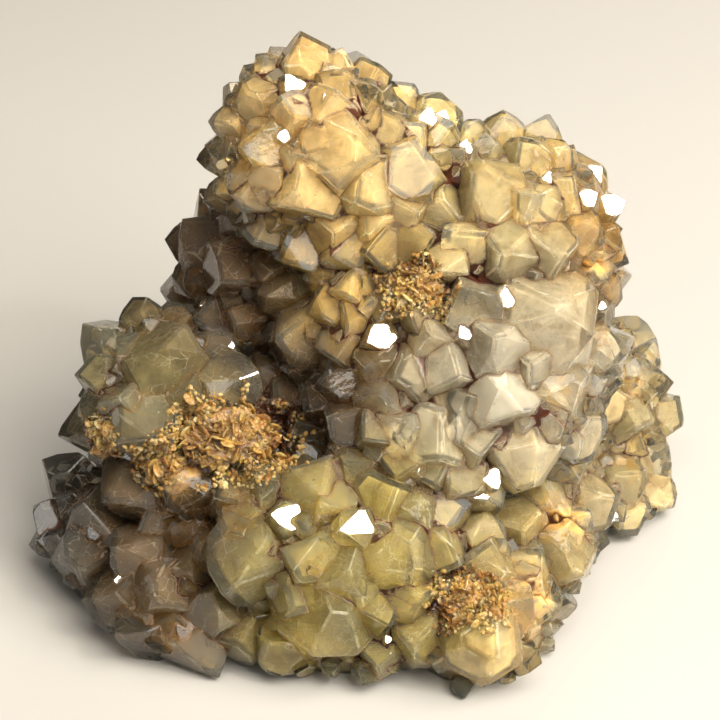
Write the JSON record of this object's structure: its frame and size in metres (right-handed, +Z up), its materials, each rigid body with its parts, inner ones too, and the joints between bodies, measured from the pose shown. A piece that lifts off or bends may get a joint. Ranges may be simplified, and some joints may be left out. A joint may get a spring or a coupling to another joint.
{
  "type": "crested barite on quartz mineral specimen",
  "caption": "Hand-sized druse of pale honey quartz crystals with small crests of tan bladed barite in its hollows, standing on a flat base.",
  "frame": {"origin": "on the flat rest face, below the middle of the specimen", "axes": "+Z up, +X along the longest side, -Y towards the displayed front"},
  "size_m": [0.1024, 0.0786, 0.0806],
  "materials": {
    "quartz": "glossy crystal faces, honey to grey, cloudy inside, iron-stained joints",
    "barite": "dull tan to rust-brown blades with granular rims"
  },
  "bodies": {
    "root": {"quartz_druse": "quartz", "barite_crest_middle": "barite", "barite_crest_left": "barite", "barite_crest_left_edge": "barite", "barite_crest_left_lower": "barite", "barite_crest_lower_right": "barite"}
  },
  "joints": []
}
